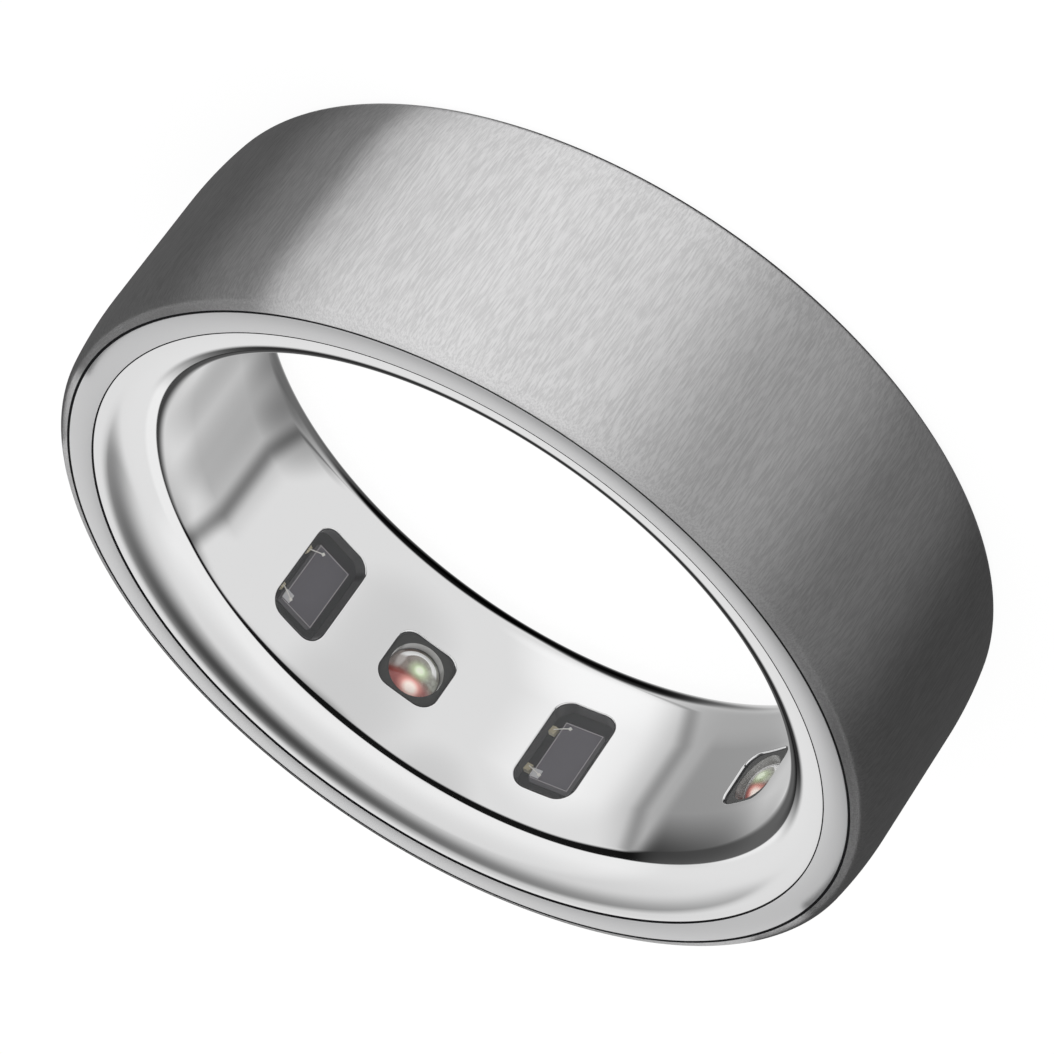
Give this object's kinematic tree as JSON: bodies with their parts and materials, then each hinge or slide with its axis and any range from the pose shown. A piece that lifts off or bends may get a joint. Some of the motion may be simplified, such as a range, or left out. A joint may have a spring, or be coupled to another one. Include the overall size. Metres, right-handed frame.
{
  "type": "smart ring",
  "caption": "Smart ring with a brushed outer shell, flat end rings, a polished domed bore and sensor windows over its circuit, cell and charging coil.",
  "frame": {"origin": "on the ring's axis, at the plane of its lower end face", "axes": "+Z along the ring's axis; +Y from the axis to the light window between the photodiodes; +X completes the right-handed frame"},
  "size_m": [0.0258, 0.0258, 0.0079],
  "materials": {
    "shell_titanium": "brushed along the ring's axis",
    "edge_titanium": "satin",
    "liner_titanium": "polished",
    "seam_adhesive": "matte",
    "pane_resin": "glossy, tinted",
    "die_silicon": "glossy",
    "carrier_laminate": "matte",
    "bond_gold": "polished",
    "lens_silicone": "clear, glossy",
    "bezel_plastic": "matte",
    "package_ceramic": "matte",
    "emitter_green": "glossy",
    "emitter_red": "glossy",
    "emitter_infrared": "glossy",
    "barrier_foam": "matte",
    "flex_polyimide": "glossy",
    "chip_plastic": "matte",
    "crystal_can": "satin",
    "capacitor_ceramic": "glossy",
    "copper": "bare metal",
    "cell_foil": "satin foil",
    "tab_nickel": "satin",
    "board_laminate": "glossy",
    "ferrite": "matte",
    "potting_resin": "glossy"
  },
  "bodies": {
    "root": {"outer_shell": "shell_titanium", "inner_shell": "liner_titanium", "upper_edge_ring": "edge_titanium", "lower_edge_ring": "edge_titanium", "upper_seam_bead": "seam_adhesive", "lower_seam_bead": "seam_adhesive", "upper_ring_glue": "seam_adhesive", "lower_ring_glue": "seam_adhesive", "photodiode_pane_1": "pane_resin", "photodiode_pane_2": "pane_resin", "photodiode_die_1": "die_silicon", "photodiode_die_2": "die_silicon", "photodiode_carrier_1": "carrier_laminate", "photodiode_carrier_2": "carrier_laminate", "bond_wires_1": "bond_gold", "bond_wires_2": "bond_gold", "led_lens_1": "lens_silicone", "led_lens_2": "lens_silicone", "led_bezel_1": "bezel_plastic", "led_bezel_2": "bezel_plastic", "led_package_1": "package_ceramic", "led_package_2": "package_ceramic", "green_emitter_1": "emitter_green", "green_emitter_2": "emitter_green", "red_emitter_1": "emitter_red", "red_emitter_2": "emitter_red", "infrared_emitter_1": "emitter_infrared", "infrared_emitter_2": "emitter_infrared", "light_barrier_1": "barrier_foam", "light_barrier_2": "barrier_foam", "light_barrier_3": "barrier_foam", "light_barrier_4": "barrier_foam", "flex_circuit": "flex_polyimide", "main_chip": "chip_plastic", "front_end_chip": "chip_plastic", "power_chip": "chip_plastic", "memory_chip": "chip_plastic", "motion_chip": "chip_plastic", "crystal": "crystal_can", "capacitors": "capacitor_ceramic", "temperature_sensor_1": "chip_plastic", "temperature_sensor_2": "chip_plastic", "antenna": "copper", "battery_cell": "cell_foil", "battery_tabs": "tab_nickel", "battery_board": "board_laminate", "charging_coil": "copper", "ferrite_sleeve": "ferrite", "upper_potting": "potting_resin", "lower_potting": "potting_resin"}
  },
  "joints": []
}
